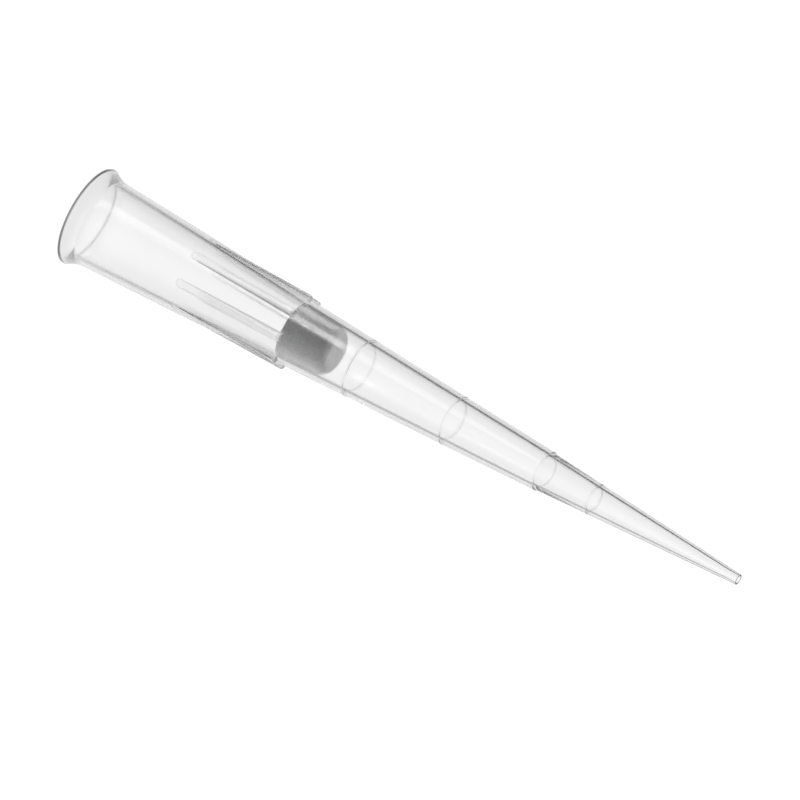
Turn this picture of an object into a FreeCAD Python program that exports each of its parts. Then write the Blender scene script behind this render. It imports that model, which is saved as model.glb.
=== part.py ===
import FreeCAD, Part
import os
import math
import Sketcher

# A filter pipette tip with volume marks at 10, 20, 50 and 100 microlitres.
# Millimetres. It stands on its mouth at z = 0 with +Z along the bore, towards the fine end.

os.makedirs("parts", exist_ok=True)
doc = FreeCAD.newDocument("pipette_tip")

DIMENSIONS = {
    # mouth and lip
    "lip_radius": 3.36,  # outside of the lip, the widest place
    "lip_bore": 3.19,  # inside of the lip
    "lip_round": 0.05,  # rounding of both edges of the lip
    "flare_start": 0.14,  # height at which the flare leaves the lip
    "flare_arc": 2.5,  # radius of both of the flare's curves, hollow outside and round inside
    # outside of the wall, from the mouth up
    "neck_radius": 2.926,
    "neck_height": 1.45,
    "flute_radius": 2.643,  # where the plain neck ends and the ribs begin
    "flute_height": 8.3,
    "cone_radius": 2.235,  # under the ends of the ribs
    "cone_height": 16.2,
    "step_radius": 1.345,  # at the 20 microlitre mark the wall thins
    "step_height": 35.2,
    "step_drop": 0.07,
    "step_slope": 0.25,
    "end_radius": 0.355,
    "tip_length": 50.0,
    # bore, from the mouth up
    "throat_radius": 2.60,  # widest place of the nozzle socket
    "throat_height": 0.91,
    "socket_radius": 1.857,  # narrow end of the socket's taper
    "socket_height": 15.5,
    "bore_radius": 1.03,  # bore at the 20 microlitre mark
    "fine_radius": 0.775,  # bore at the 10 microlitre mark
    "orifice_radius": 0.25,
    "orifice_length": 0.8,  # straight run before the outlet
    # ribs
    "rib_count": 8,
    "rib_width": 0.6,
    "rib_radius": 2.62,  # top of a rib, parallel to the axis, so that it rises out of the taper
    "rib_bury": 0.22,  # how deep a rib's root lies in the wall
    "rib_round": 0.12,  # outer corner at the rib's end
    "rib_fillet": 0.08,  # inner corner at the rib's end
    # volume marks, as heights above the mouth
    "mark_ten": 39.06,
    "mark_twenty": 35.2,
    "mark_fifty": 28.26,
    "mark_hundred": 21.05,
    "mark_width": 0.12,
    "mark_rise": 0.025,
    # filter plug
    "filter_start": 15.86,
    "filter_end": 19.25,
    "filter_chamfer": 0.1,
    "filter_soft": 0.4,  # size of the soft edge at the end that points to the outlet
    "filter_arc": 0.42,  # its radius, a little more, so that it leaves the bore at once
}


class Size:
    """A number from the sheet together with the expression that binds a sketch to it."""

    def __init__(self, value, text):
        self.value, self.text = value, text

    def join(self, other, sign, value):
        return Size(value, f"({self.text} {sign} {getattr(other, 'text', other)})")

    def __add__(self, other):
        return self.join(other, "+", self.value + getattr(other, "value", other))

    def __sub__(self, other):
        return self.join(other, "-", self.value - getattr(other, "value", other))

    def __mul__(self, other):
        return self.join(other, "*", self.value * getattr(other, "value", other))

    def __truediv__(self, other):
        return self.join(other, "/", self.value / getattr(other, "value", other))


def dimension_sheet():
    """Writes every dimension into a sheet, one row each, and returns them as bound sizes."""
    sheet = doc.addObject("Spreadsheet::Sheet", "Dims")
    sheet.Label = "Dims"
    sizes = {}
    for row, (word, number) in enumerate(DIMENSIONS.items(), start=1):
        sheet.set(f"A{row}", word)
        sheet.set(f"B{row}", str(number))
        sheet.setAlias(f"B{row}", word)
        sizes[word] = Size(number, f"Dims.{word}")
    doc.recompute()
    return sizes


D = dimension_sheet()
ON_AXIS = Size(0.0, "0")


def between(low, high, height):
    """Radius at a height on the straight line between two (radius, height) points."""
    return low[0] + (height - low[1]) * (high[0] - low[0]) / (high[1] - low[1])


NECK_END = (D["flute_radius"], D["flute_height"])
CONE_FOOT = (D["cone_radius"], D["cone_height"])
STEP_FOOT = (D["step_radius"], D["step_height"])
STEP_TOP = (D["step_radius"] - D["step_drop"], D["step_height"] + D["step_slope"])
FINE_END = (D["end_radius"], D["tip_length"])
SOCKET_END = (D["socket_radius"], D["socket_height"])
BORE_STEP = (D["bore_radius"], D["step_height"])


def new_body(name):
    body = doc.addObject("PartDesign::Body", name)
    body.Label = name
    body.Placement = FreeCAD.Placement()
    return body


def origin_feature(body, role):
    for feature in body.Origin.OriginFeatures:
        if feature.Role == role:
            return feature
    raise RuntimeError(f"{body.Name} has no {role}")


def edge(start, end, arc):
    """A straight edge, or an arc given as (radius, "round" or "hollow").

    An outline runs anticlockwise and so does every arc, so a hollow one is drawn backwards.
    """
    a = FreeCAD.Vector(start[0].value, start[1].value, 0)
    b = FreeCAD.Vector(end[0].value, end[1].value, 0)
    if arc is None:
        return Part.LineSegment(a, b)
    radius, kind = arc
    if kind == "hollow":
        a, b = b, a
    chord = b - a
    rise = radius.value - math.sqrt(radius.value**2 - (chord.Length / 2) ** 2)
    outward = FreeCAD.Vector(chord.y, -chord.x, 0).normalize()
    return Part.Arc(a, (a + b) / 2 + outward * rise, b)


def bind(sketch, constraint, size):
    index = sketch.addConstraint(constraint)
    name = f"size_{index}"
    sketch.renameConstraint(index, name)
    sketch.setExpression(f"Constraints.{name}", size.text)


def radial_sketch(body, name, corners, arcs=None):
    """A closed outline in the XZ plane; every corner is a (radius, height) bound to the sheet."""
    arcs = arcs or {}
    sketch = body.newObject("Sketcher::SketchObject", name)
    sketch.AttachmentSupport = [(origin_feature(body, "XZ_Plane"), "")]
    sketch.MapMode = "FlatFace"
    count = len(corners)
    backwards = {i for i, (_, kind) in arcs.items() if kind == "hollow"}
    for i, corner in enumerate(corners):
        sketch.addGeometry(edge(corner, corners[(i + 1) % count], arcs.get(i)), False)
    for i, corner in enumerate(corners):
        before = (i - 1) % count
        start, end = (2 if i in backwards else 1), (1 if before in backwards else 2)
        sketch.addConstraint(Sketcher.Constraint("Coincident", before, end, i, start))
        for kind, size, axis in (("DistanceX", corner[0], -2), ("DistanceY", corner[1], -1)):
            if size is ON_AXIS:
                sketch.addConstraint(Sketcher.Constraint("PointOnObject", i, start, axis))
            else:
                bind(sketch, Sketcher.Constraint(kind, -1, 1, i, start, size.value), size)
    for i, (radius, _) in arcs.items():
        bind(sketch, Sketcher.Constraint("Radius", i, radius.value), radius)
    doc.recompute()
    return sketch


def revolve(body, sketch, name):
    feature = body.newObject("PartDesign::Revolution", name)
    feature.Profile = sketch
    feature.ReferenceAxis = (sketch, ["V_Axis"])
    feature.Angle = 360.0
    doc.recompute()
    return feature


def wall(body):
    """The tapered tube with its flared mouth, turned in one piece."""
    lip, bore, edge_round = D["lip_radius"], D["lip_bore"], D["lip_round"]
    corners = [
        (bore + edge_round, ON_AXIS),
        (lip - edge_round, ON_AXIS),
        (lip, edge_round),
        (lip, D["flare_start"]),
        (D["neck_radius"], D["neck_height"]),
        NECK_END,
        CONE_FOOT,
        STEP_FOOT,
        STEP_TOP,
        FINE_END,
        (D["orifice_radius"], D["tip_length"]),
        (D["orifice_radius"], D["tip_length"] - D["orifice_length"]),
        (D["fine_radius"], D["mark_ten"]),
        BORE_STEP,
        SOCKET_END,
        (D["throat_radius"], D["throat_height"]),
        (bore, edge_round),
    ]
    last = len(corners) - 1
    arcs = {
        1: (edge_round, "round"),
        3: (D["flare_arc"], "hollow"),
        last - 1: (D["flare_arc"], "round"),
        last: (edge_round, "round"),
    }
    return revolve(body, radial_sketch(body, "wall_outline", corners, arcs), "wall")


def ribs(body):
    """Straight ribs that rise out of the neck's taper and end together in a shoulder."""
    root = D["rib_bury"]
    start = D["flute_height"] - root
    end = D["cone_height"]
    foot = D["cone_radius"]
    corners = [
        (D["rib_radius"] - root, start),
        (D["rib_radius"], start),
        (D["rib_radius"], end - D["rib_round"]),
        (D["rib_radius"] - D["rib_round"], end),
        (foot + D["rib_fillet"], end),
        (foot, end + D["rib_fillet"]),
        (foot - root, end + D["rib_fillet"]),
    ]
    arcs = {2: (D["rib_round"], "round"), 4: (D["rib_fillet"], "hollow")}
    sketch = radial_sketch(body, "rib_outline", corners, arcs)
    pad = body.newObject("PartDesign::Pad", "rib")
    pad.Profile = sketch
    pad.Midplane = True
    pad.setExpression("Length", "Dims.rib_width")
    doc.recompute()
    pattern = body.newObject("PartDesign::PolarPattern", "rib_pattern")
    pattern.Originals = [pad]
    pattern.Axis = (origin_feature(body, "Z_Axis"), [""])
    pattern.Angle = 360.0
    pattern.setExpression("Occurrences", "Dims.rib_count")
    body.Tip = pattern
    doc.recompute()


def mark(body, name, low, high):
    """A fine raised line round the outside at one volume; low and high are the wall's ends there."""
    height, half = D[name], D["mark_width"] / 2
    corners = [
        (between(low, high, height) - D["mark_width"], height - half),
        (between(low, high, height - half), height - half),
        (between(low, high, height) + D["mark_rise"], height),
        (between(low, high, height + half), height + half),
        (between(low, high, height) - D["mark_width"], height + half),
    ]
    return revolve(body, radial_sketch(body, f"{name}_outline", corners), name)


def tip_body():
    body = new_body("tip_body")
    wall(body)
    ribs(body)
    mark(body, "mark_hundred", CONE_FOOT, STEP_FOOT)
    mark(body, "mark_fifty", CONE_FOOT, STEP_FOOT)
    mark(body, "mark_twenty", CONE_FOOT, STEP_FOOT)
    mark(body, "mark_ten", STEP_TOP, FINE_END)
    return body


def filter_plug():
    """The porous plug, pressed into the bore just past the socket and touching it all round."""
    body = new_body("filter_plug")
    start, end, chamfer, soft = (D[f"filter_{word}"] for word in ("start", "end", "chamfer", "soft"))
    wide = between(SOCKET_END, BORE_STEP, start + chamfer)
    narrow = between(SOCKET_END, BORE_STEP, end - soft)
    corners = [
        (ON_AXIS, start),
        (wide - chamfer, start),
        (wide, start + chamfer),
        (narrow, end - soft),
        (narrow - soft, end),
        (ON_AXIS, end),
    ]
    revolve(body, radial_sketch(body, "plug_outline", corners, {3: (D["filter_arc"], "round")}), "plug")
    return body


def check_and_export(bodies):
    for item in doc.Objects:
        if {"Invalid", "Error"} & set(item.State):
            raise RuntimeError(f"{item.Name} is {item.State}")
    for body in bodies:
        shape = body.Shape
        if shape.isNull() or not shape.isValid() or len(shape.Solids) != 1:
            raise RuntimeError(f"{body.Label} is not one sound solid")
        shape.exportStep(os.path.join("parts", f"{body.Label}.step"))
        print(body.Label, "volume", round(shape.Volume, 4), "mm3")


pieces = [tip_body(), filter_plug()]
doc.recompute()
check_and_export(pieces)
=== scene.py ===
# %% [markdown]
# # A clear filter tip for a pipette
#
# The object is two pieces of plastic. One is a slender clear tip, moulded in one shot: a flared mouth, a
# socket for the pipette's nozzle, eight straight ribs that end in a shoulder, four fine rings that mark
# volumes, and a long cone to a small hole. The other is a short grey plug of porous plastic, pressed into the
# bore, which stops droplets from reaching the pipette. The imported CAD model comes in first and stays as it
# is, because every piece made here takes its place from it.

# %% Load the CAD model as the fixed frame
import math

import bmesh
import bpy
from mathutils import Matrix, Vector


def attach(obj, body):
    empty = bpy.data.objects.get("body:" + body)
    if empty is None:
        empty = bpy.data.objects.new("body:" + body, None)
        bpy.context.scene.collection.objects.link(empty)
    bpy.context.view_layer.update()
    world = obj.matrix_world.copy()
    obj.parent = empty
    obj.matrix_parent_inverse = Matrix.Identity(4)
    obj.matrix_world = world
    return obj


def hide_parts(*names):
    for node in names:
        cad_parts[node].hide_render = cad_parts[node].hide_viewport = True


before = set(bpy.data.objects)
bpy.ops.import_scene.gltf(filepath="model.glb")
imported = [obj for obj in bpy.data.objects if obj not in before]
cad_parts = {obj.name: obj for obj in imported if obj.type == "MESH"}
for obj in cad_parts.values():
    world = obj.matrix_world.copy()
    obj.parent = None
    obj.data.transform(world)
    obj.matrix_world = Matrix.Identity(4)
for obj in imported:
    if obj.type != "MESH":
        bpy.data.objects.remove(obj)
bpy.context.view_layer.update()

MM = 0.001

# %% [markdown]
# ## Small tools for edit mode
#
# By hand, one clicks the vertices to change and then presses a key. In a script the click becomes a rule,
# such as "every vertex at this height", so one helper turns such a rule into a selection. An operator acts on
# all that is selected, and loading the model leaves it selected, so each new piece starts from an empty
# selection.

# %% Helpers: a clean start, a rule as a selection, a finished piece
HAIR = 1e-6  # one thousandth of a millimetre: closer than this counts as the same place


def start_clean():
    """Nothing selected and nothing open, ready for a new primitive."""
    if bpy.context.object and bpy.context.object.mode != "OBJECT":
        bpy.ops.object.mode_set(mode="OBJECT")
    bpy.ops.object.select_all(action="DESELECT")


def pick(kind, rule):
    """In edit mode, selects the vertices, edges or faces that follow the rule, and nothing else."""
    bpy.ops.mesh.select_mode(type=kind)
    bpy.ops.mesh.select_all(action="DESELECT")
    shape = bmesh.from_edit_mesh(bpy.context.edit_object.data)
    parts = {"VERT": shape.verts, "EDGE": shape.edges, "FACE": shape.faces}[kind]
    found = [part for part in parts if rule(part)]
    for part in found:
        part.select_set(True)
    bmesh.update_edit_mesh(bpy.context.edit_object.data)
    return len(found)


def picked_vertices():
    """Numbers of the vertices that are selected now."""
    return {v.index for v in bmesh.from_edit_mesh(bpy.context.edit_object.data).verts if v.select}


def shift(x, y, z):
    """Moves what is selected, in millimetres."""
    bpy.ops.transform.translate(value=(x * MM, y * MM, z * MM))


def middle(part):
    """Centre of an edge or a face as (distance from the axis, azimuth in degrees, height), in millimetres."""
    place = sum((v.co for v in part.verts), Vector()) / len(part.verts) / MM
    return math.hypot(place.x, place.y), math.degrees(math.atan2(place.y, place.x)), place.z


def measured(piece):
    """Prints what a piece is made of; a sound closed skin has no open edges."""
    shape = bmesh.new()
    shape.from_mesh(piece.data)
    open_edges = sum(not edge.is_manifold for edge in shape.edges)
    volume = shape.calc_volume(signed=True) / MM**3
    print(f"{piece.name}: {len(shape.faces)} faces, {open_edges} open edges, {volume:.2f} mm3")
    shape.free()


# %% [markdown]
# ## The outline of the tip
#
# The tip is turned about one axis apart from its ribs, so it is described by one outline: up the outside from
# the lip, over the small end, and back down the bore. Straight runs need only their two ends. The lip's
# rounding, the flare of the mouth and each ring are curves, and those get a point at least every 12 degrees,
# so that light bends smoothly through them. Clear plastic shows every flat that a solid colour would hide.

# %% Outline points as (distance from the axis, height), in millimetres
# outside, from the mouth up
LIP, LIP_BORE, LIP_ROUND = 3.355, 3.19, 0.08
FLARE_START, FLARE_END, FLARE_ARC = (LIP, 0.14), (2.926, 1.45), 2.5
NECK_END, RIB_FOOT = (2.643, 8.3), (2.235, 16.2)
LEAD_HEIGHT = 8.9  # where a rib has risen to its full height
MARK_HUNDRED, MARK_FIFTY, MARK_TWENTY, MARK_TEN = 21.05, 28.26, 35.2, 39.06
STEP_FOOT, STEP_TOP = (1.345, MARK_TWENTY), (1.275, 35.45)
FINE_END = (0.355, 50.0)
# bore, from the mouth up
THROAT, SOCKET_END = (2.60, 0.91), (1.857, 15.5)
BORE_STEP, BORE_FINE = (1.03, MARK_TWENTY), (0.775, MARK_TEN)
ORIFICE, ORIFICE_RUN = 0.25, 0.8
RING_HALF, RING_RISE = 0.06, 0.025
ROUND_STEPS, FLARE_STEPS = 8, 10


def along(low, high, height):
    """Distance from the axis at a height on the straight run between two points."""
    return low[0] + (height - low[1]) * (high[0] - low[0]) / (high[1] - low[1])


def bow(start, end, radius, steps, side):
    """Points of an arc after start, up to end; side is +1 if it bulges to the right of the way, or -1."""
    (x0, y0), (x1, y1) = start, end
    length = math.hypot(x1 - x0, y1 - y0)
    half = math.asin(length / 2 / radius)
    across = ((y1 - y0) / length * side, -(x1 - x0) / length * side)
    drop = radius * math.cos(half)
    cx, cy = (x0 + x1) / 2 - across[0] * drop, (y0 + y1) / 2 - across[1] * drop
    points = []
    for k in range(1, steps + 1):
        turn = side * (-half + 2 * half * k / steps)
        ux, uy = across
        points.append((cx + radius * (ux * math.cos(turn) - uy * math.sin(turn)),
                       cy + radius * (ux * math.sin(turn) + uy * math.cos(turn))))
    return points


def ring(height, low, high):
    """A fine rounded ridge round the outside, which marks a volume."""
    start = (low(height - RING_HALF), height - RING_HALF)
    end = (high(height + RING_HALF), height + RING_HALF)
    radius = (RING_HALF**2 + RING_RISE**2) / (2 * RING_RISE)
    return [start] + bow(start, end, radius, ROUND_STEPS, +1)


def cone(height):
    return along(RIB_FOOT, STEP_FOOT, height)


def step(height):
    return along(STEP_FOOT, STEP_TOP, height)


def fine_cone(height):
    return along(STEP_TOP, FINE_END, height)


lead = (along(NECK_END, RIB_FOOT, LEAD_HEIGHT), LEAD_HEIGHT)
lip_inside, lip_outside = (LIP_BORE + LIP_ROUND, 0.0), (LIP - LIP_ROUND, 0.0)
lip_bore_edge = (LIP_BORE, LIP_ROUND)
outline = [lip_inside, lip_outside]
outline += bow(lip_outside, (LIP, LIP_ROUND), LIP_ROUND, ROUND_STEPS, +1)
outline += [FLARE_START] + bow(FLARE_START, FLARE_END, FLARE_ARC, FLARE_STEPS, -1)
outline += [NECK_END, lead, RIB_FOOT]
outline += ring(MARK_HUNDRED, cone, cone) + ring(MARK_FIFTY, cone, cone) + ring(MARK_TWENTY, cone, step)
outline += [STEP_TOP] + ring(MARK_TEN, fine_cone, fine_cone) + [FINE_END]
outline += [(ORIFICE, FINE_END[1]), (ORIFICE, FINE_END[1] - ORIFICE_RUN)]
outline += [BORE_FINE, BORE_STEP, SOCKET_END, THROAT]
outline += bow(THROAT, lip_bore_edge, FLARE_ARC, FLARE_STEPS, +1)
outline += bow(lip_bore_edge, lip_inside, LIP_ROUND, ROUND_STEPS, +1)
print(len(outline), "points in the outline, from the lip round to the lip again")

# %% [markdown]
# ## One eighth of the wall, by spin
#
# The ribs repeat eight times, so only one eighth of the tip is modelled: the outline is spun by 45 degrees,
# with the middle of the eighth on +X, where its rib will stand. The outline itself starts as one vertex (a
# small plane merged to its centre) that is extruded from point to point, as one draws a profile for a lathe.

# %% Draw the outline and spin it
RIBS = 8
EIGHTH = 360.0 / RIBS
STEPS = 45  # an odd number, so that the rib lies evenly about the middle


def draw_outline(name, points, azimuth):
    """One vertex at the first point, extruded to each of the others in turn and closed on itself."""
    start_clean()
    c, s = math.cos(math.radians(azimuth)), math.sin(math.radians(azimuth))
    r, z = points[0]
    bpy.ops.mesh.primitive_plane_add(size=MM, location=(r * c * MM, r * s * MM, z * MM), enter_editmode=True)
    piece = bpy.context.edit_object
    piece.name = piece.data.name = name
    bpy.ops.mesh.merge(type="CENTER")
    for (r0, z0), (r1, z1) in zip(points, points[1:]):
        move = ((r1 - r0) * c * MM, (r1 - r0) * s * MM, (z1 - z0) * MM)
        bpy.ops.mesh.extrude_vertices_move(TRANSFORM_OT_translate={"value": move})
    bpy.ops.object.mode_set(mode="OBJECT")
    bpy.ops.object.transform_apply(location=True, rotation=True, scale=True)
    bpy.ops.object.mode_set(mode="EDIT")
    bpy.ops.mesh.select_all(action="SELECT")
    bpy.ops.mesh.remove_doubles(threshold=HAIR)
    return piece


tip = draw_outline("clear_tip", outline, EIGHTH / 2)
bpy.ops.mesh.spin(steps=STEPS, angle=math.radians(EIGHTH), center=(0, 0, 0), axis=(0, 0, 1))
azimuths = [math.degrees(math.atan2(v.co.y, v.co.x)) for v in bmesh.from_edit_mesh(tip.data).verts]
print("one eighth runs from", round(min(azimuths), 2), "to", round(max(azimuths), 2), "degrees")

# %% [markdown]
# ## The rib
#
# A rib is a straight bar with parallel sides, 0.6 mm wide, which rises out of the neck's taper and ends in
# the shoulder that a rack holds. Its faces are already there on the wall: their edges are moved to the rib's
# width, the faces are extruded, and each row of the new ones is raised towards the rib's height, fully in the
# middle and less towards the sides. So the rib has a rounded section with no sharp edge, as moulded plastic
# does, and light bends round it softly. The top's far edge gets a rounding of its own.

# %% Raise the rib
RIB_HALF, RIB_TOP, RIB_FACES = 0.3, 2.62, 15
RIB_SPAN = EIGHTH / STEPS * RIB_FACES / 2  # in degrees to each side
ROUNDNESS, FULLNESS = 3.0, 0.6  # of the rib's section
IN_WALL = 2.1  # a radius that lies inside the wall, all along the ribs


def near(a, b, reach=0.002):
    return abs(a - b) < reach


def at(radius, height, azimuth):
    """Rule for the one vertex at this place."""
    turn = math.radians(azimuth)
    place = Vector((radius * math.cos(turn), radius * math.sin(turn), height)) * MM
    return lambda v: (v.co - place).length < 5 * HAIR


for radius, height in (lead, RIB_FOOT):
    for column in range(RIB_FACES + 1):
        old = (column - RIB_FACES / 2) * EIGHTH / STEPS
        new = math.asin((2 * column / RIB_FACES - 1) * RIB_HALF / radius)
        pick("VERT", at(radius, height, old))
        # the operator counts a turn the other way from an azimuth
        bpy.ops.transform.rotate(value=math.radians(old) - new, orient_axis="Z", center_override=(0, 0, 0))


def under_rib(face):
    r, azimuth, z = middle(face)
    return r > IN_WALL and abs(azimuth) < RIB_SPAN and NECK_END[1] < z < RIB_FOOT[1]


print("faces under the rib:", pick("FACE", under_rib))
bpy.ops.mesh.extrude_region_move(TRANSFORM_OT_translate={"value": (0, 0, 0)})
raised = picked_vertices()
for radius, height in (lead, RIB_FOOT):
    for column in range(1, RIB_FACES):
        across = (2 * column / RIB_FACES - 1) * RIB_HALF
        fullness = (1 - abs(across / RIB_HALF) ** ROUNDNESS) ** FULLNESS
        low = math.sqrt(radius**2 - across**2)
        pick("VERT", lambda v: v.index in raised and near(v.co.z / MM, height) and near(v.co.y / MM, across))
        shift((RIB_TOP - low) * fullness, 0, 0)
bpy.ops.mesh.select_all(action="SELECT")
bpy.ops.mesh.remove_doubles(threshold=HAIR)

# %% Round the rib's end
END_ROUND, END_SEGMENTS = 0.12, 4


def end_of_top(edge):
    """True for an edge across the top of the rib at its end, clear of the wall and of the rib's sides."""
    ends = [v.co / MM for v in edge.verts]
    across_top = all(x > RIB_FOOT[0] + 0.01 and abs(y) < RIB_HALF - 0.03 for x, y, z in ends)
    return across_top and all(near(end.z, RIB_FOOT[1]) for end in ends)


print("edges across the rib's end:", pick("EDGE", end_of_top))
bpy.ops.mesh.bevel(offset=END_ROUND * MM, segments=END_SEGMENTS, affect="EDGES")

# %% Eight eighths make the tip
bpy.ops.mesh.select_all(action="SELECT")
for copy in range(RIBS - 1):
    bpy.ops.mesh.duplicate()
    bpy.ops.transform.rotate(value=math.radians(EIGHTH), orient_axis="Z", center_override=(0, 0, 0))
bpy.ops.mesh.select_all(action="SELECT")
bpy.ops.mesh.remove_doubles(threshold=HAIR)
bpy.ops.mesh.normals_make_consistent(inside=False)
bpy.ops.object.mode_set(mode="OBJECT")
measured(tip)

# %% [markdown]
# ## Smooth shading with true corners
#
# Neighbouring faces that turn by less than 15.5 degrees belong to one curve and are shaded as one; every
# larger turn is a real corner and stays crisp. A long flat face beside a short curved one would still lean
# towards it, and through clear plastic that lean bends the whole view. Weighted normals let the larger face
# decide.

# %% Shade a finished piece


def finish_surface(piece, corner):
    """Smooth shading up to the given corner angle, with the larger faces deciding the normals."""
    start_clean()
    piece.select_set(True)
    bpy.context.view_layer.objects.active = piece
    bpy.ops.object.shade_smooth_by_angle(angle=math.radians(corner))
    weigh = piece.modifiers.new("even_normals", "WEIGHTED_NORMAL")
    weigh.keep_sharp = True
    bpy.ops.object.modifier_apply(modifier=weigh.name)


finish_surface(tip, corner=15.5)
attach(tip, "root")
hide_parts("tip_body")
print("clear_tip stands for tip_body")

# %% [markdown]
# ## The filter plug
#
# The plug is sintered: grains of plastic are heated in a mould until they just join, which leaves a stiff
# sponge. It is a short tapered cylinder, pushed into the bore until it wedges, with a small rounding towards
# the mouth and a soft, wide one towards the outlet. The grains make its skin uneven by up to a hundredth of a
# millimetre, and because they touch the wall only here and there, a thin film of air stays between the two.
# That film is modelled, or the wall's inner face would vanish.

# %% Shape the plug
PLUG_LOW, PLUG_HIGH, PLUG_RIM, PLUG_SOFT = 15.86, 19.25, 0.1, 0.55
AIR = 0.02  # between the plug's mean surface and the bore
PLUG_SIDES, SIDE_CUTS = 160, 40
END_RINGS, RING_STEP = 14, 0.085
GRAIN_SIZE, GRAIN_DEPTH = 0.09, 0.02


def bore_at(height):
    return along(SOCKET_END, BORE_STEP, height)


start_clean()
wide, narrow = bore_at(PLUG_LOW) - AIR, bore_at(PLUG_HIGH) - AIR
bpy.ops.mesh.primitive_cylinder_add(vertices=PLUG_SIDES, radius=wide * MM, depth=(PLUG_HIGH - PLUG_LOW) * MM,
                                    location=(0, 0, (PLUG_LOW + PLUG_HIGH) / 2 * MM), enter_editmode=True)
plug = bpy.context.edit_object
plug.name = plug.data.name = "porous_plug"
bpy.ops.object.mode_set(mode="OBJECT")
bpy.ops.object.transform_apply(location=True, rotation=True, scale=True)
bpy.ops.object.mode_set(mode="EDIT")
pick("VERT", lambda v: v.co.z / MM > PLUG_HIGH - 0.01)
bpy.ops.transform.resize(value=(narrow / wide, narrow / wide, 1), center_override=(0, 0, PLUG_HIGH * MM))


def level_edge(edge):
    return near(edge.verts[0].co.z, edge.verts[1].co.z, HAIR)


def end_face_at(height):
    """Rule for the one large flat face at an end."""
    return lambda face: len(face.verts) > 100 and near(middle(face)[2], height)


for end, size, segments in ((PLUG_LOW, PLUG_RIM, 4), (PLUG_HIGH, PLUG_SOFT, 10)):
    print("rim edges:", pick("EDGE", lambda edge: level_edge(edge) and near(edge.verts[0].co.z / MM, end)))
    bpy.ops.mesh.bevel(offset=size * MM, segments=segments, affect="EDGES")
print("side edges:", pick("EDGE", lambda edge: abs(edge.verts[0].co.z - edge.verts[1].co.z) > MM))
bpy.ops.mesh.subdivide(number_cuts=SIDE_CUTS)
for end in (PLUG_LOW, PLUG_HIGH):
    pick("FACE", end_face_at(end))
    for turn in range(END_RINGS):
        bpy.ops.mesh.inset(thickness=RING_STEP * MM)
    bpy.ops.mesh.poke()
bpy.ops.mesh.select_all(action="SELECT")
bpy.ops.mesh.normals_make_consistent(inside=False)
bpy.ops.object.mode_set(mode="OBJECT")

# %% Give the plug its grain
grains = bpy.data.textures.new("grains", "CLOUDS")
grains.noise_scale, grains.noise_depth = GRAIN_SIZE * MM, 1
swell = plug.modifiers.new("grains", "DISPLACE")
swell.texture = grains
swell.texture_coords = "LOCAL"
swell.strength, swell.mid_level = GRAIN_DEPTH * MM, 0.5
bpy.ops.object.modifier_apply(modifier=swell.name)
measured(plug)
finish_surface(plug, corner=60)
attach(plug, "root")
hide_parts("filter_plug")

# %% [markdown]
# ## Shader maths that reads like maths
#
# A node graph is a sum written with wires. Wrapping a socket in a small class lets the same sum be written as
# an expression: `0.4 + 0.2 * grain` adds the Math nodes for it. Colours go through Mix, because a Math node
# would turn them grey, and one method makes every other node.

# %% Wires and node trees


class Wire:
    """An output socket. Expressions on wires add Math nodes."""

    def __init__(self, tree, socket):
        self.tree, self.socket = tree, socket

    def __add__(self, other):
        return self.tree.maths("ADD", self, other)

    def __sub__(self, other):
        return self.tree.maths("SUBTRACT", self, other)

    def __rsub__(self, other):
        return self.tree.maths("SUBTRACT", other, self)

    def __mul__(self, other):
        return self.tree.maths("MULTIPLY", self, other)

    def __pow__(self, other):
        return self.tree.maths("POWER", self, other)

    def __lt__(self, other):
        return self.tree.maths("LESS_THAN", self, other)

    def __gt__(self, other):
        return self.tree.maths("GREATER_THAN", self, other)

    __radd__, __rmul__ = __add__, __mul__


class Tree:
    """The nodes of one material, or of the world."""

    def __init__(self, owner):
        owner.use_nodes = True
        self.nodes, self.links = owner.node_tree.nodes, owner.node_tree.links
        self.nodes.clear()

    def node(self, kind, settings=None, values=None, output=0):
        """Adds a node: its settings first, then the value or wire of each socket; gives one of its outputs."""
        made = self.nodes.new(kind)
        for word, setting in (settings or {}).items():
            setattr(made, word, setting)
        for word, value in (values or {}).items():
            if isinstance(value, Wire):
                self.links.new(value.socket, made.inputs[word])
            else:
                made.inputs[word].default_value = value
        return Wire(self, made.outputs[output]) if made.outputs else None

    def maths(self, operation, *values):
        return self.node("ShaderNodeMath", {"operation": operation}, dict(enumerate(values)))

    def vector(self, operation, *values, output=0):
        return self.node("ShaderNodeVectorMath", {"operation": operation}, dict(enumerate(values)), output)

    def part_along(self, wire, axis):
        """How far a vector reaches along an axis."""
        return self.vector("DOT_PRODUCT", wire, tuple(axis), output=1)

    def blend(self, share, first, second):
        """A colour between two, by Mix; a Mix node keeps its colours on its sockets 6 and 7."""
        return self.node("ShaderNodeMix", {"data_type": "RGBA"}, {0: share, 6: first, 7: second}, output=2)

    def mixed(self, share, first, second):
        """A surface between two."""
        return self.node("ShaderNodeMixShader", {}, {0: share, 1: first, 2: second})

    def rise(self, wire, start, end):
        """0 below start and 1 above end, with a soft step between them."""
        return self.node("ShaderNodeMapRange", {"interpolation_type": "SMOOTHSTEP"},
                         {"Value": wire, "From Min": start, "From Max": end})

    def noise(self, place, scale, detail):
        return self.node("ShaderNodeTexNoise", {}, {"Vector": place, "Scale": scale, "Detail": detail})

    def glow(self, strength):
        """A white light of this strength."""
        return self.node("ShaderNodeEmission", {}, {"Color": grey(1), "Strength": strength})


def grey(level):
    """A neutral colour."""
    return (level, level, level, 1)


def new_finish(piece, name):
    """A material of that name in the piece's only slot, with an empty tree."""
    material = bpy.data.materials.new(name)
    piece.data.materials.clear()
    piece.data.materials.append(material)
    return Tree(material)


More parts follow.
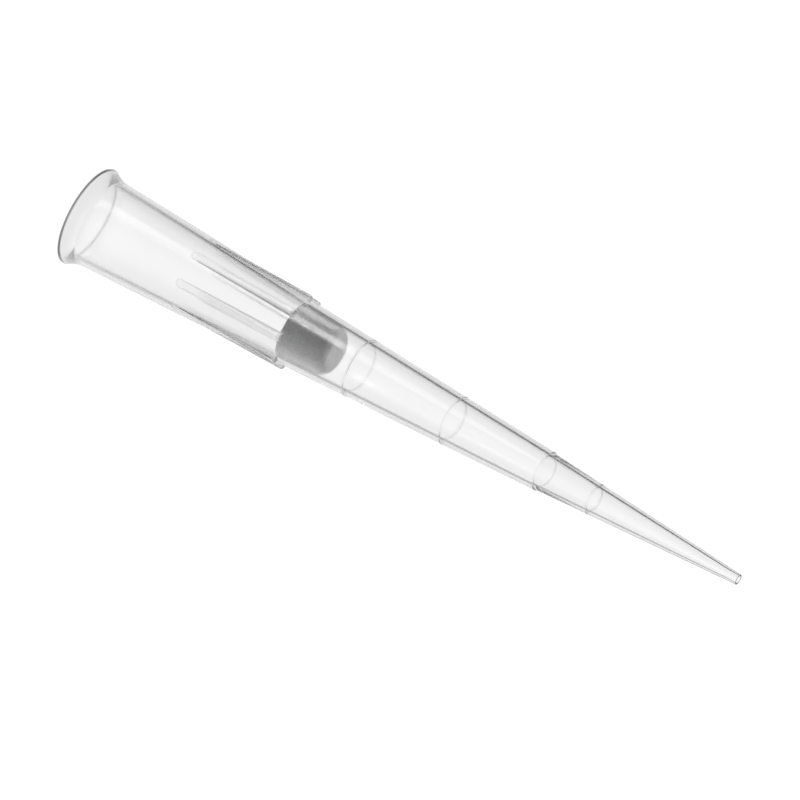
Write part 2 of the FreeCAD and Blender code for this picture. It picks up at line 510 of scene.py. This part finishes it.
# %% [markdown]
# ## Clear moulded plastic
#
# The tip is natural polypropylene, which is clear in a thin wall but never quite as clear as glass: it takes
# a little light off a long way through it, which is why the wall looks greyer at its edges. Its surface
# copies the mould, so it is smooth, with a faint waviness where the melt flowed and a slight change of gloss.
#
# A mould's narrow slots are hard to polish, so the ribs come out satin: a little greyer than the wall, with
# frosted sides and a frosted end. The lip's bead is painted dark grey: painted shade that stands for the dark
# line which light bent through the thick bead gives. Where these zones lie is worked out from the place on the
# piece, by its distance from the axis, its azimuth and its height.

# %% Where the ribs and the lip are
clear = new_finish(tip, "clear_polypropylene")
place = clear.node("ShaderNodeTexCoord", output="Object")
in_mm = clear.vector("MULTIPLY", place, (1 / MM,) * 3)
x, y, z = (clear.node("ShaderNodeSeparateXYZ", {}, {"Vector": in_mm}, output=k) for k in range(3))
TAPER = (NECK_END[0] - RIB_FOOT[0]) / (RIB_FOOT[1] - NECK_END[1])  # of the wall between the ribs
RIB_START = NECK_END[1] + RIB_HALF

from_axis = (x * x + y * y) ** 0.5
azimuth = clear.maths("ARCTAN2", y, x)
beside_rib = from_axis * clear.maths("WRAP", azimuth, math.pi / RIBS, -math.pi / RIBS)
below_rib = clear.maths("MAXIMUM", RIB_START - z, 0.0)
from_rib = (beside_rib * beside_rib + below_rib * below_rib) ** 0.5
above_wall = from_axis - NECK_END[0] + TAPER * (z - NECK_END[1])
outside = clear.rise(above_wall, -0.2, -0.1) * (z < RIB_FOOT[1] + 0.06)

satin = (1 - clear.rise(from_rib, RIB_HALF - 0.03, RIB_HALF + 0.03)) * outside
side = satin * clear.rise(from_rib, 0.2, 0.27)
end_face = satin * clear.rise(z, 15.95, 16.05)
# the lowest tenth of a millimetre, the lip's bead, which gets painted shade: a dark grey for the dark rim line
lip = 1 - clear.rise(z, 0.08, 0.14)
print("ribs from", RIB_START - RIB_HALF, "to", RIB_FOOT[1], "mm on a wall that tapers by", round(TAPER, 4))

# %% Clear plastic for the tip
flow = clear.node("ShaderNodeMapping", {}, {"Vector": place, "Scale": (1, 1, 0.2)})
waves = clear.noise(flow, 900, 2)
haze = clear.noise(place, 2500, 3)
bump = clear.node("ShaderNodeBump", {}, {"Strength": 0.25, "Distance": 0.002 * MM, "Height": waves})
wall_tint = clear.blend(haze, grey(0.99), grey(1))
tint = clear.blend(satin - side, wall_tint, grey(0.89))
# the base colour turns dark grey on the lip's bead, as painted shade
skin = clear.node("ShaderNodeBsdfPrincipled", {}, {
    "Base Color": clear.blend(0.7 * lip, tint, grey(0.2)),
    "Roughness": 0.10 + 0.05 * haze + 0.05 * satin + 0.35 * side,
    "IOR": 1.49, "Transmission Weight": 1.0, "Normal": bump})
frost = clear.node("ShaderNodeBsdfPrincipled", {}, {
    "Base Color": clear.blend(haze, grey(0.9), grey(0.95)), "Roughness": 0.6 + 0.1 * haze})
surface = clear.mixed(0.02 * satin + 0.2 * side + 0.4 * end_face, skin, frost)
depth = clear.node("ShaderNodeVolumeAbsorption", {}, {"Color": grey(0.55), "Density": 30.0})
clear.node("ShaderNodeOutputMaterial", {}, {"Surface": surface, "Volume": depth})
print("clear_polypropylene:", len(clear.nodes), "nodes")

# %% [markdown]
# ## Sintered plastic
#
# The plug is matt and even from afar, and close up it is a packing of round grains with gaps between them.
# Cells of a Voronoi pattern stand for the grains: the distance to a cell's centre gives the bumps, and it
# darkens the gaps as painted shade, where shade falls between the grains. A wide noise changes the grey
# slightly, as uneven packing does. Where the grains touch the mould they melt flat, which leaves a faint
# sheen, and a coat stands for it.

# %% Sintered plastic for the plug
# the last colour is the grey of the painted shade in the gaps between the grains
LIGHT_PACKING, DENSE_PACKING, PORE_SHADE = (0.76, 0.76, 0.77, 1), (0.66, 0.66, 0.67, 1), (0.4, 0.4, 0.405, 1)
sinter = new_finish(plug, "sintered_polyethylene")
place = sinter.node("ShaderNodeTexCoord", output="Object")
grain = sinter.node("ShaderNodeTexVoronoi", {"feature": "F1"}, {"Vector": place, "Scale": 9000.0})
patch = sinter.noise(place, 1800, 2)
tone = sinter.blend(patch, DENSE_PACKING, LIGHT_PACKING)
# painted shade where the gaps between the grains lie
painted_pore_shade = sinter.rise(grain, 0.45, 0.8)
bump = sinter.node("ShaderNodeBump", {"invert": True},
                   {"Strength": 0.6, "Distance": 0.02 * MM, "Height": grain})
body = sinter.node("ShaderNodeBsdfPrincipled", {}, {
    "Base Color": sinter.blend(0.35 * painted_pore_shade, tone, PORE_SHADE),
    "Roughness": 0.8 + 0.15 * patch, "Normal": bump,
    "Coat Weight": 1.0, "Coat IOR": 1.5, "Coat Roughness": 0.2})
sinter.node("ShaderNodeOutputMaterial", {}, {"Surface": body})
print("sintered_polyethylene:", len(sinter.nodes), "nodes")

# %% [markdown]
# ## The camera
#
# The camera looks at the tip from a little above, along a direction 20.7 degrees over the floor, and it is
# rolled, so that the standing tip lies across the frame from the upper left to the lower right. A long lens
# far away keeps the two ends in nearly the same proportion.

# %% Place the camera
CAMERA_AZIMUTH, CAMERA_ELEVATION, ROLL = -64.4, 20.7, 29.22
FRAME_WIDTH, LENS, SENSOR = 50.22, 1500.0, 36.0
AIM_HEIGHT, AIM_ASIDE = 24.41, -0.527


def direction(azimuth, elevation):
    a, e = math.radians(azimuth), math.radians(elevation)
    return Vector((math.cos(a) * math.cos(e), math.sin(a) * math.cos(e), math.sin(e)))


def turn_to(thing, *axes):
    """Turns an object so that its own X, Y and Z point along these axes."""
    for column, axis in enumerate(axes):
        for row in range(3):
            thing.matrix_world[row][column] = axis[row]


to_camera = direction(CAMERA_AZIMUTH, CAMERA_ELEVATION)
lengthways = (Vector((0, 0, 1)) - to_camera * to_camera.z).normalized()
crossways = to_camera.cross(lengthways)
roll = math.radians(ROLL)
right = lengthways * math.cos(roll) + crossways * math.sin(roll)
up = crossways * math.cos(roll) - lengthways * math.sin(roll)
aim = Vector((0, 0, AIM_HEIGHT * MM)) + crossways * (AIM_ASIDE * MM)
distance = FRAME_WIDTH * MM * LENS / SENSOR

start_clean()
bpy.ops.object.camera_add(location=aim + to_camera * distance)
camera = bpy.context.object
camera.data.lens, camera.data.sensor_width = LENS, SENSOR
turn_to(camera, right, up, to_camera)
bpy.context.scene.camera = camera
print("camera", round(distance, 3), "m away, looking down by", CAMERA_ELEVATION, "degrees")

# %% [markdown]
# ## The studio's surroundings
#
# Clear plastic is drawn by what stands round it. A clear tube on pure white with white all round would
# disappear; what gives it edges is a white field behind it and duller surroundings at its sides, which the
# curved walls bend into view. So the world has three parts: what is seen directly is plain white, what is
# seen through a clear wall is a bright field, greyer above the table, and what the piece reflects, or is lit
# by, is a soft studio, brightest behind the tip.

# %% Directions in the studio
AHEAD = Vector((to_camera.x, to_camera.y, 0)).normalized()  # over the floor, towards the camera
ASIDE = Vector((AHEAD.y, -AHEAD.x, 0))
world = bpy.data.worlds.new("studio")
bpy.context.scene.world = world
around = Tree(world)
way = around.node("ShaderNodeTexCoord", output="Generated")
over_floor = around.vector("NORMALIZE", around.vector("MULTIPLY", way, (1, 1, 0)))

across = around.part_along(way, ASIDE)
upward = around.part_along(way, (0, 0, 1))
back = around.part_along(over_floor, -AHEAD)


def zone(wire, start, end):
    """1 between two places, each given as where its soft step begins and ends."""
    return around.rise(wire, *start) * (1 - around.rise(wire, *end))


upper = around.rise(across, -0.3, 0.3)
behind = around.rise(back, 0.68, 0.78)
beside = zone(back, (-0.2, 0.0), (0.3, 0.45))
aslant = zone(back, (-0.9, -0.6), (-0.3, -0.15))
front = around.rise(around.part_along(over_floor, AHEAD), 0.5, 1.0)
print("behind the tip is azimuth", round(math.degrees(math.atan2(-AHEAD.y, -AHEAD.x)), 1))

# %% How bright each direction is
dull = 0.36 - 0.3 * upper
dull = dull + (0.4 - 0.3 * upper) * beside + 0.3 * front + 0.4 * upper * aslant
white = 0.95 - 0.1 * upper
low_down = 0.6 + 0.4 * (1 - around.rise(upward, -0.1, 0.0))
reflected = (dull + (white - dull) * behind) * low_down

not_overhead = 1 - 0.95 * around.rise(upward, 0.1, 0.6)
not_underfoot = 1 - 0.9 * around.rise(0 - upward, 0.3, 0.7)
lighting = 0.02 + 2.9 * around.rise(back + 0.1 * upper, -0.42, -0.12) * (not_overhead * not_underfoot)

table = 1 - around.rise(upward, -0.105, -0.017)
upper_fade = (1 - 0.07 * around.rise(across, 0.0, 0.07)) * (1 - 0.05 * around.rise(across, 0.15, 0.7))
field = (0.35 + 0.67 * table) * upper_fade


def ray(output):
    return around.node("ShaderNodeLightPath", output=output)


seen = ray("Is Camera Ray")
through = ray("Is Transmission Ray") * (ray("Diffuse Depth") < 0.5) * (ray("Glossy Depth") < 0.5)
lit = ray("Diffuse Depth") > 0.5
studio = lit * lighting + (1 - lit) * reflected
beyond = through * field + (1 - through) * studio
light = around.node("ShaderNodeBackground", {}, {"Color": grey(1), "Strength": seen + (1 - seen) * beyond})
around.node("ShaderNodeOutputWorld", {}, {"Surface": light})
print("studio:", len(around.nodes), "nodes")

# %% [markdown]
# ## The floor
#
# The floor is a plain white sheet. It mostly glows, so that it stays as white as the background, and a small
# share of it is matt and keeps the tip's shadow. Seen through the clear wall the sheet is left out, so that
# the field behind it shows; only under the mouth it stays, as a glowing pale grey disc that fills the bell
# from within. That disc is painted shade for the floor inside the mouth: it is lighter towards the far side,
# and a painted contact shadow of the lip darkens the near half of its edge.

# %% Lay the floor
DISC = 3.45  # its radius, a little more than the lip's
start_clean()
bpy.ops.mesh.primitive_plane_add(size=6.0, location=(0, 0, 0))
floor = bpy.context.object
floor.name = "floor"
floor.visible_glossy = False
paper = new_finish(floor, "white_table")
matt = paper.node("ShaderNodeBsdfDiffuse", {}, {"Color": grey(0.9)})
sheet = paper.mixed(0.15, paper.glow(1.15), matt)

spot = paper.node("ShaderNodeNewGeometry", output="Position")
farther, sideways = paper.part_along(spot, -AHEAD / MM), paper.part_along(spot, ASIDE / MM)
from_middle = (farther * farther + sideways * sideways) ** 0.5
under_mouth = from_middle < DISC
# painted shade on the glowing disc: a painted contact shadow of the lip near its edge, and painted light to
# the far side
painted_contact_shadow = paper.rise(from_middle, 2.85, 3.1) * (1 - paper.rise(farther, -2.0, 0.5))
painted_light_far_side = paper.rise(farther, -1.5, 2.5) * (1 - paper.rise(sideways, 0.0, 1.8))
painted_shade_disc = paper.glow((0.86 + 0.12 * painted_light_far_side) * (1 - 0.85 * painted_contact_shadow))
nothing = paper.node("ShaderNodeBsdfTransparent")
refracted = paper.node("ShaderNodeLightPath", output="Is Transmission Ray")
laid = paper.mixed(refracted, sheet, paper.mixed(under_mouth, nothing, painted_shade_disc))
paper.node("ShaderNodeOutputMaterial", {}, {"Surface": laid})
print("floor:", floor.dimensions.x, "m wide,", len(paper.nodes), "nodes")

# %% [markdown]
# ## The lamps
#
# One large soft lamp overhead lights the set. The others are soft boxes for one piece each, as a studio
# places cards and strips round glassware: two narrow ones give the tip its long reflection and the sheen in
# front of the plug, and four light the plug: one from each side, one towards its end and one from above.
# Light linking keeps each to its own piece, and only the plug shades them, because a clear wall hardly does.
#
# A wall that curves only one way throws a reflection along a line, so a strip is placed by the turn, in
# degrees round the axis, from the camera to it, one for each of its ends.

# %% Kinds of lamps
MIDDLE = Vector((0, 0, 0.02))
FALL = math.radians(-16)  # below the level, of a ray from the camera that the wall has thrown


def lamp(name, place, target, width, length, power):
    """A soft box that faces the target and that the camera doesn't see."""
    start_clean()
    bpy.ops.object.light_add(type="AREA", location=place)
    made = bpy.context.object
    made.name = name
    made.data.shape, made.data.size, made.data.size_y, made.data.energy = "RECTANGLE", width, length, power
    made.rotation_euler = (Vector(place) - Vector(target)).to_track_quat("Z", "Y").to_euler()
    made.visible_camera = False
    return made


def only(piece):
    """A collection of this piece alone, to which a lamp's light or shadow can be limited."""
    chosen = bpy.data.collections.new("light_" + piece.name)
    chosen.objects.link(piece)
    return chosen


def limit(made, piece):
    """Keeps a lamp's light to one piece, with shadows from the plug alone."""
    made.visible_transmission = False
    made.light_linking.receiver_collection = only(piece)
    made.light_linking.blocker_collection = only(plug)


def thrown(turn):
    """Where the upright wall throws a ray that comes down from the camera, turned by this many degrees."""
    flat = AHEAD * math.cos(math.radians(turn)) + ASIDE * math.sin(math.radians(turn))
    return flat * math.cos(FALL) + Vector((0, 0, math.sin(FALL)))


def strip_lamp(name, piece, heights, turns, width, power, reach=0.25, sheen=True):
    """A strip along the tip for one piece, seen as its sheen or else as light on its colour."""
    low, high = (Vector((0, 0, height * MM)) + reach * thrown(turn) for height, turn in zip(heights, turns))
    centre = (low + high) / 2
    made = lamp(name, centre, MIDDLE, width, (high - low).length, power)
    long_way = (high - low).normalized()
    inward = centre - MIDDLE
    inward = (inward - long_way * inward.dot(long_way)).normalized()
    turn_to(made, long_way.cross(inward), long_way, inward)
    made.visible_glossy, made.visible_diffuse = sheen, not sheen
    limit(made, piece)
    return made


# %% Place the lamps
overhead = lamp("overhead", (0, 0, 0.8), (0, 0, 0), 0.6, 0.6, 3.0)
overhead.visible_transmission = False
strip_lamp("strip_on_tip", tip, heights=(-2, 45), turns=(55, 23), width=0.04, power=0.04)
gleam = strip_lamp("sheen_on_plug", tip, heights=(16.6, 21.0), turns=(36, 34), width=0.0026, power=0.000021,
                   reach=0.008)
gleam.data.spread = math.radians(60)
strip_lamp("side_on_plug", plug, heights=(-15, 50), turns=(110, 100), width=0.15, power=0.11)
strip_lamp("low_on_plug", plug, heights=(-15, 50), turns=(-88, -88), width=0.1, power=0.24, sheen=False)
strip_lamp("end_on_plug", plug, heights=(150, 250), turns=(115, 115), width=0.1, power=0.2, sheen=False)
top = lamp("top_on_plug", (0, 0, 0.3), (0, 0, 0.018), 0.1, 0.1, 0.09)
top.visible_glossy = False
limit(top, plug)

# %% [markdown]
# ## Bounces and view
#
# Light that is caught between the ribs' faces bounces many times before it leaves, and a ray that is cut
# short ends black, so the number of bounces is raised.

# %% Bounces and view
BOUNCES = 24
scene = bpy.context.scene
scene.view_settings.view_transform = "Standard"
scene.cycles.glossy_bounces = scene.cycles.max_bounces = BOUNCES
